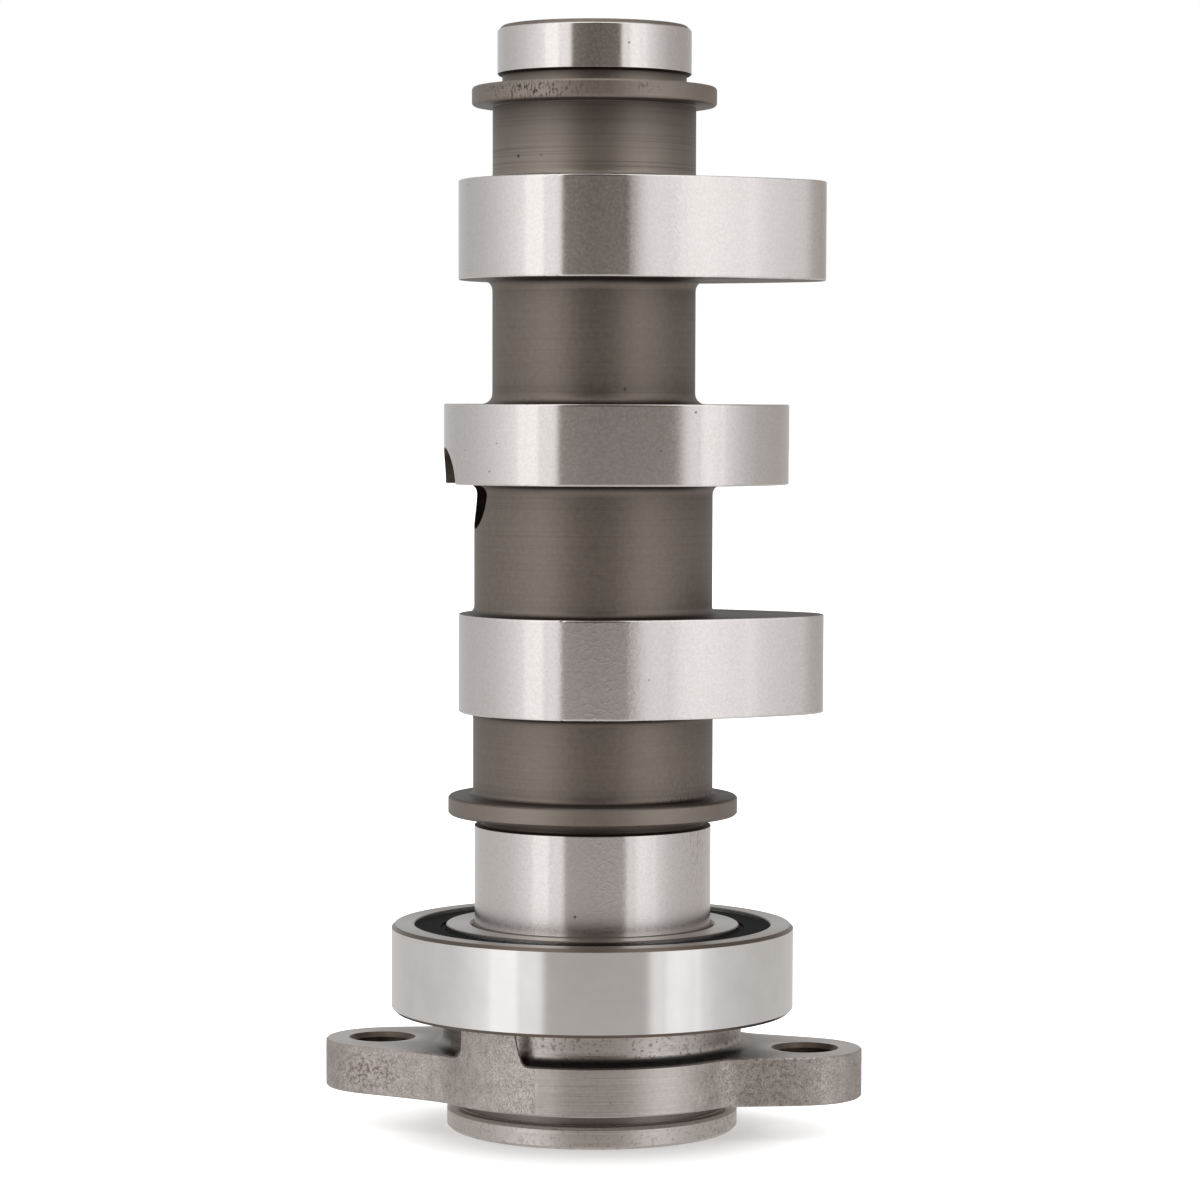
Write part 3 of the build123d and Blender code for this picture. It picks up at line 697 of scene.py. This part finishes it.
def innerCircle(sizes, radius, turns, wall, onBlock):
    # points of a circle inside the wall: straight in from it beside the block, else towards the axis
    inBlock = [i for i, on in enumerate(onBlock) if on]
    first, last = inBlock[0], inBlock[-1]
    shifts = [0.0] * len(turns)
    for i in inBlock:
        x = wall[i].x
        shifts[i] = math.atan2(-math.sqrt(radius ** 2 - x ** 2), x) % (2 * math.pi) - turns[i]
    for i in range(len(turns)):
        for end, steps in ((first, first - i), (last, i - last)):
            if 0 < steps <= sizes["blockBlend"]:
                share = steps / sizes["blockBlend"]
                shifts[i] = shifts[end] * (1 - share * share * (3 - 2 * share))
    points = []
    corner = sizes["blockCorner"]
    for t, shift, p, on in zip(turns, shifts, wall, onBlock):
        x, y = radius * math.cos(t + shift), radius * math.sin(t + shift)
        away = sizes["blockRightTop"] + corner - p.x
        if on and 0 < away < corner:
            fill = corner - math.sqrt(corner ** 2 - away ** 2)
            y = min(y, -math.sqrt(sizes["neckRadius"] ** 2 - p.x ** 2) - fill)
        points.append((x, y))
    return points


def relief(sizes, x, y, z):
    # how far the forging's skin stands out at this place
    place = Vector((x, y, z))
    wave = noise.noise(place * 0.8) * 0.4 + noise.noise(place * 2.4) * 0.8
    pit = max(0.0, noise.noise(place * 1.7 + Vector((9, 4, 2))) - 0.35)
    return sizes["skinDepth"] * wave - sizes["pitDepth"] * pit * 2


def flangeRings(sizes):
    # rings from the bore out over the spigot, up the wall and in over the neck, each with its skin
    turns, wall, outward, cornerTurn = flangeOutline(sizes)
    heights = [topAt(sizes, p.x, p.y) for p in wall]
    reach = sizes["blockFillet"] + 0.2
    onBlock = [sizes["blockLeft"] - reach < p.x < sizes["blockRightFoot"] + 0.2 and p.y < 0 for p in wall]
    skin = []                       # smooth on the turned disc between the shoulder and the right ear
    for t in turns:
        offCorner = (t - cornerTurn) / math.radians(1.0)
        offEar = (math.radians(sizes["turnedEnd"]) - t) / math.radians(sizes["turnedFade"])
        skin.append(1 - min(max(offCorner, 0), 1) * min(max(offEar, 0), 1))
    topSkin = [s if on else 0.0 for s, on in zip(skin, onBlock)]
    smooth = [0.0] * len(turns)
    rings = []

    def addCircle(radius, height):
        rings.append(([(radius * math.cos(t), radius * math.sin(t), height) for t in turns], smooth))

    def addEdge(inset, levels, itsSkin):
        ring = [(p.x - n.x * inset, p.y - n.y * inset, z) for p, n, z in zip(wall, outward, levels)]
        rings.append((ring, itsSkin))

    spigot, chamfer, groove = sizes["spigotRadius"], sizes["spigotChamfer"], sizes["grooveRadius"]
    rim, base, edge, rows = sizes["spigotHeight"], sizes["plateBase"], sizes["edge"], sizes["rows"]
    lower = [(sizes["boreRadius"], 0.0), (spigot - chamfer - 0.1, 0.0), (spigot - chamfer, 0.0),
             (spigot, chamfer), (spigot, chamfer + 0.1), (spigot, rim - chamfer - 0.1),
             (spigot, rim - chamfer), (spigot - chamfer, rim), (groove + 0.1, rim), (groove, rim + 0.1),
             (groove, base - 0.1), (groove + 0.1, base), (groove + 2.0, base)]
    for radius, height in lower:
        addCircle(radius, height)
    addEdge(1.5 * edge, [base] * len(turns), skin)
    addEdge(edge, [base] * len(turns), skin)
    for row in range(rows + 1):
        near = min(row, rows - row, 3) / 3          # the relief fades out towards both edges
        ring = []
        for p, n, top, rough in zip(wall, outward, heights, skin):
            z = base + edge + (top - base - 2 * edge) * row / rows
            out = relief(sizes, p.x, p.y, z) * rough * near
            ring.append((p.x + n.x * out, p.y + n.y * out, z))
        rings.append((ring, skin))
    addEdge(edge, heights, skin)
    addEdge(1.5 * edge, heights, topSkin)

    neck, cove, plate, brim = sizes["neckRadius"], sizes["cove"], sizes["plateTop"], sizes["neckTop"]
    for step in range(-1, 7):
        bend = math.radians(90 * max(step, 0) / 6)
        radius = neck + cove - cove * math.sin(bend) + (0.08 if step < 0 else 0)
        level = plate + cove - cove * math.cos(bend)
        circle = innerCircle(sizes, radius, turns, wall, onBlock)
        feet = [max(level, topAt(sizes, x if on else 0, y)) for (x, y), on in zip(circle, onBlock)]
        rings.append(([(x, y, foot) for (x, y), foot in zip(circle, feet)], topSkin))
    for share in (0.1, 0.5, 0.9, 1.0):
        ring = [(x, y, foot + (brim - 0.1 - foot) * share) for (x, y), foot in zip(circle, feet)]
        rings.append((ring, smooth))
    rings.append(([(x * (1 - 0.1 / neck), y * (1 - 0.1 / neck), brim) for x, y in circle], smooth))
    addCircle(sizes["boreRadius"], brim)
    return rings


def markFlange(piece, rings, sizes):
    # forged skin, browned patches, painted shade in the corners and the spigot's groove, and pits, in
    # attributes that the steel reads
    neck, cove, plate = sizes["neckRadius"], sizes["cove"], sizes["plateTop"]
    left, rim = sizes["blockLeft"], sizes["spigotHeight"]
    values = {"skin": [], "stain": [], "paintedShade": [], "pits": []}
    for ring, skins in rings:
        values["skin"] += skins
        for x, y, z in ring:
            stain = sizes["plainStain"]
            for middle, spread, height, rise, amount in sizes["stains"] if y < 0 else []:
                away = ((x - middle) / spread) ** 2 + (((z - height) / rise) ** 2 if rise else 0)
                stain = max(stain, amount * math.exp(-away))
            reach = math.hypot(x, y)
            inGroove = reach < sizes["spigotRadius"] - 0.4 and rim < z < sizes["plateBase"]
            besideBlock = left - 4.5 < x < left + 0.1 and y < -1 and reach < neck + cove + 0.2 and z > plate
            atFoot = reach < neck + cove + 0.1 and plate - 0.1 < z < plate + 0.7
            onNeck = plate + 0.6 < z and reach < neck + 0.3
            values["stain"].append(stain)
            # painted shade in the spigot's groove, beside the block and at the neck's foot
            values["paintedShade"].append(0.75 if inGroove or besideBlock else 0.6 if atFoot else 0.0)
            values["pits"].append(0.5 if onNeck else 0.25 if z < rim else 0.0)
    addMarks(piece, values)


def drillEars(piece, sizes):
    # a hole with chamfered mouths through each ear
    way, base, plate = math.radians(sizes["earTurn"]), sizes["plateBase"], sizes["plateTop"]
    radius, chamfer, count = sizes["holeRadius"], sizes["holeChamfer"], sizes["holeColumns"]
    beyond = 0.3                    # the cutter's cones go on past both faces
    steps = [(radius + chamfer + beyond, base - beyond), (radius, base + chamfer), (radius, plate - chamfer),
             (radius + chamfer + beyond, plate + beyond)]
    for side in (-1, 1):
        x, y = side * sizes["holeOffset"] * math.cos(way), side * sizes["holeOffset"] * math.sin(way)
        circle = [2 * math.pi * i / count for i in range(count)]
        rings = [[(x + r * math.cos(t), y + r * math.sin(t), z) for t in circle] for r, z in steps]
        cutWith(piece, meshFromRings("earHoleCutter", rings, caps=True))


def buildFlange(sizes):
    rings = flangeRings(sizes)
    piece = meshFromRings("sprocketFlange", [ring for ring, skins in rings], closed=True)
    markFlange(piece, rings, sizes)
    for finish in (forgedSteel, drilledSteel):
        piece.data.materials.append(finish)
    drillEars(piece, sizes)
    finishPiece(piece, sizes["sharpest"], "sprocket_flange")
    return piece


sprocketFlange = buildFlange(flange)
print("flange made:", len(sprocketFlange.data.polygons), "faces")

# The bearing's own nodes carry their finishes
bearingFinishes = {"seal": (blackRubber, "seal_rubber"), "cage": (pressedSteel, "cage_steel"),
                   "ball": (lappedSteel, "bearing_steel"), "ring": (bearingSteel, "bearing_steel")}
for name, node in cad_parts.items():
    if name in ("camshaft", "sprocket_flange"):
        continue
    node.data.materials.clear()
    finish, slot = next(value for part, value in bearingFinishes.items() if part in name)
    node.data.materials.append(finish)
print("bearing finished")

# Stage: pale floor, and a studio whose light depends mostly on the way round it
studio = {
    # turn from straight ahead, level of light there: dark behind the camera, a soft wall on each side
    "around": [(-180, 0.55), (-165, 0.55), (-130, 0.51), (-108, 0.58), (-92, 0.69), (-78, 0.82),
               (-65, 0.97), (-60.5, 1.03), (-59.5, 1.24), (-56, 1.18), (-43.5, 1.24), (-41.5, 0.86),
               (-40, 1.02), (-30, 1.0), (-28, 0.84), (-25.5, 0.12), (0, 0.06), (30, 0.10), (34, 0.92),
               (39.5, 0.96), (41, 0.82), (43, 1.08), (50, 1.14), (61, 1.0), (62.5, 1.2), (64, 0.94),
               (72, 0.82), (85, 0.63), (100, 0.47), (130, 0.38), (165, 0.45), (180, 0.55)],
    "heights": (-0.14, 0.08), "dimming": (0.91, 1.12),      # the walls grow brighter upwards
    "strength": 1.4,
    "shade": "#8f8071", "shadeBelow": 0.5,                  # the dark side is warm
    "belowLevel": 0.68, "belowTint": (1, 0.975, 0.95), "belowFrom": 0.05, "belowTo": -0.22,
    "floorHalf": 6, "floorColour": "#e9e9e9", "floorRoughness": 0.9,
    # what the camera sees of the floor: a glow, dimmed near the foot as a painted contact shadow, and from
    # where to where, in m from a point in front of the axis
    "floorGlowWithPaintedShadow": (0.31, 1.0), "paintedShadowReach": (0.009, 0.036), "paintedShadowCentre": (0, -0.006, 0),
    "overhead": {"place": (0, -0.1, 0.9), "aim": (0, 0, 0.05), "size": 1.0, "power": 1.6},
}


def buildOverhead(lamp):
    data = bpy.data.lights.new("overhead", "AREA")
    data.size, data.energy = lamp["size"], lamp["power"]
    overhead = bpy.data.objects.new("overhead", data)
    bpy.context.scene.collection.objects.link(overhead)
    overhead.location = lamp["place"]
    overhead.rotation_euler = (Vector(lamp["aim"]) - overhead.location).to_track_quat("-Z", "Y").to_euler()
    overhead.visible_camera = False


def buildFloor(sizes):
    half = sizes["floorHalf"]
    floorMesh = bpy.data.meshes.new("floor")
    corners = [(-half, -half, 0), (half, -half, 0), (half, half, 0), (-half, half, 0)]
    floorMesh.from_pydata(corners, [], [(0, 1, 2, 3)])
    floor = bpy.data.objects.new("floor", floorMesh)
    bpy.context.scene.collection.objects.link(floor)
    floor.visible_glossy = False        # metal sees the world's own pale lower half in its place
    material, tree = newMaterial("paleFloor")
    seen = addNode(tree, "ShaderNodeLightPath", output="Is Camera Ray")
    place = addNode(tree, "ShaderNodeTexCoord", output="Object")
    away = addNode(tree, "ShaderNodeVectorMath", {0: place, 1: sizes["paintedShadowCentre"]},
                   {"operation": "DISTANCE"}, 1)
    near, far = sizes["paintedShadowReach"]
    dim, full = sizes["floorGlowWithPaintedShadow"]
    # less glow near the foot paints a contact shadow
    glow = addNode(tree, "ShaderNodeMapRange", {0: away, 1: near, 2: far, 3: dim, 4: full},
                   {"interpolation_type": "SMOOTHSTEP"})
    glow = addNode(tree, "ShaderNodeMath", {0: glow, 1: seen}, {"operation": "MULTIPLY"})
    shader = addNode(tree, "ShaderNodeBsdfPrincipled", {
        "Base Color": linearColour(sizes["floorColour"]), "Roughness": sizes["floorRoughness"],
        "Emission Color": (1, 1, 1, 1), "Emission Strength": glow})
    addNode(tree, "ShaderNodeOutputMaterial", {0: shader})
    floorMesh.materials.append(material)


def buildWorld(sizes):
    world = bpy.data.worlds.new("studio")
    bpy.context.scene.world = world
    world.use_nodes = True
    tree, strength = world.node_tree, sizes["strength"]
    tree.nodes.clear()
    way = addNode(tree, "ShaderNodeTexCoord", output="Generated")
    x, y, z = addNode(tree, "ShaderNodeSeparateXYZ", {0: way}).node.outputs
    ahead = addNode(tree, "ShaderNodeMath", {0: y, 1: -1.0}, {"operation": "MULTIPLY"})
    turn = addNode(tree, "ShaderNodeMath", {0: x, 1: ahead}, {"operation": "ARCTAN2"})
    turn = addNode(tree, "ShaderNodeMapRange", {0: turn, 1: -math.pi, 2: math.pi})
    around = addNode(tree, "ShaderNodeValToRGB", {0: turn})
    elements = around.node.color_ramp.elements
    elements.remove(elements[1])
    warm = linearColour(sizes["shade"])
    for index, (degrees, level) in enumerate(sizes["around"]):
        position = (degrees + 180) / 360
        element = elements.new(position) if index else elements[0]
        element.position = position
        white = min(level / sizes["shadeBelow"], 1.0)
        tint = [white + (1 - white) * c / warm[1] for c in warm[:3]]
        element.color = [level / strength * c for c in tint] + [1.0]
    (low, high), (dim, full) = sizes["heights"], sizes["dimming"]
    height = addNode(tree, "ShaderNodeMapRange", {0: z, 1: low, 2: high, 3: dim, 4: full})
    around = addNode(tree, "ShaderNodeVectorMath", {0: around, "Scale": height}, {"operation": "SCALE"})
    share = addNode(tree, "ShaderNodeMapRange", {0: z, 1: sizes["belowFrom"], 2: sizes["belowTo"]})
    below = [sizes["belowLevel"] / strength * c for c in sizes["belowTint"]] + [1.0]
    around = addNode(tree, "ShaderNodeMix", {0: share, 6: around, 7: below},
                     {"data_type": "RGBA", "blend_type": "LIGHTEN"}, 2)
    seen = addNode(tree, "ShaderNodeLightPath", output="Is Camera Ray")
    white = [1 / strength] * 3 + [1.0]
    colour = addNode(tree, "ShaderNodeMix", {0: seen, 6: around, 7: white}, asColour, 2)
    background = addNode(tree, "ShaderNodeBackground", {0: colour, 1: strength})
    addNode(tree, "ShaderNodeOutputWorld", {0: background})


buildFloor(studio)
buildWorld(studio)
buildOverhead(studio["overhead"])

# Camera a little above the middle of the shaft, tilted down slightly, as the photograph was taken
view = {"place": (0.00074, -0.42357, 0.07569), "tilt": 4.5, "roll": 0.156, "lens": 122.25, "rise": 0.1017,
        "sensor": 36.0, "near": 0.01, "far": 50}
lensData = bpy.data.cameras.new("camera")
camera = bpy.data.objects.new("camera", lensData)
bpy.context.scene.collection.objects.link(camera)
lensData.sensor_width, lensData.lens, lensData.shift_y = view["sensor"], view["lens"], view["rise"]
lensData.clip_start, lensData.clip_end = view["near"], view["far"]
tilt = Matrix.Rotation(math.radians(90 - view["tilt"]), 4, "X")
roll = Matrix.Rotation(math.radians(view["roll"]), 4, "Z")
camera.matrix_world = Matrix.Translation(view["place"]) @ tilt @ roll
bpy.context.scene.camera = camera
bpy.context.scene.view_settings.view_transform = "Standard"
print("stage and camera set")
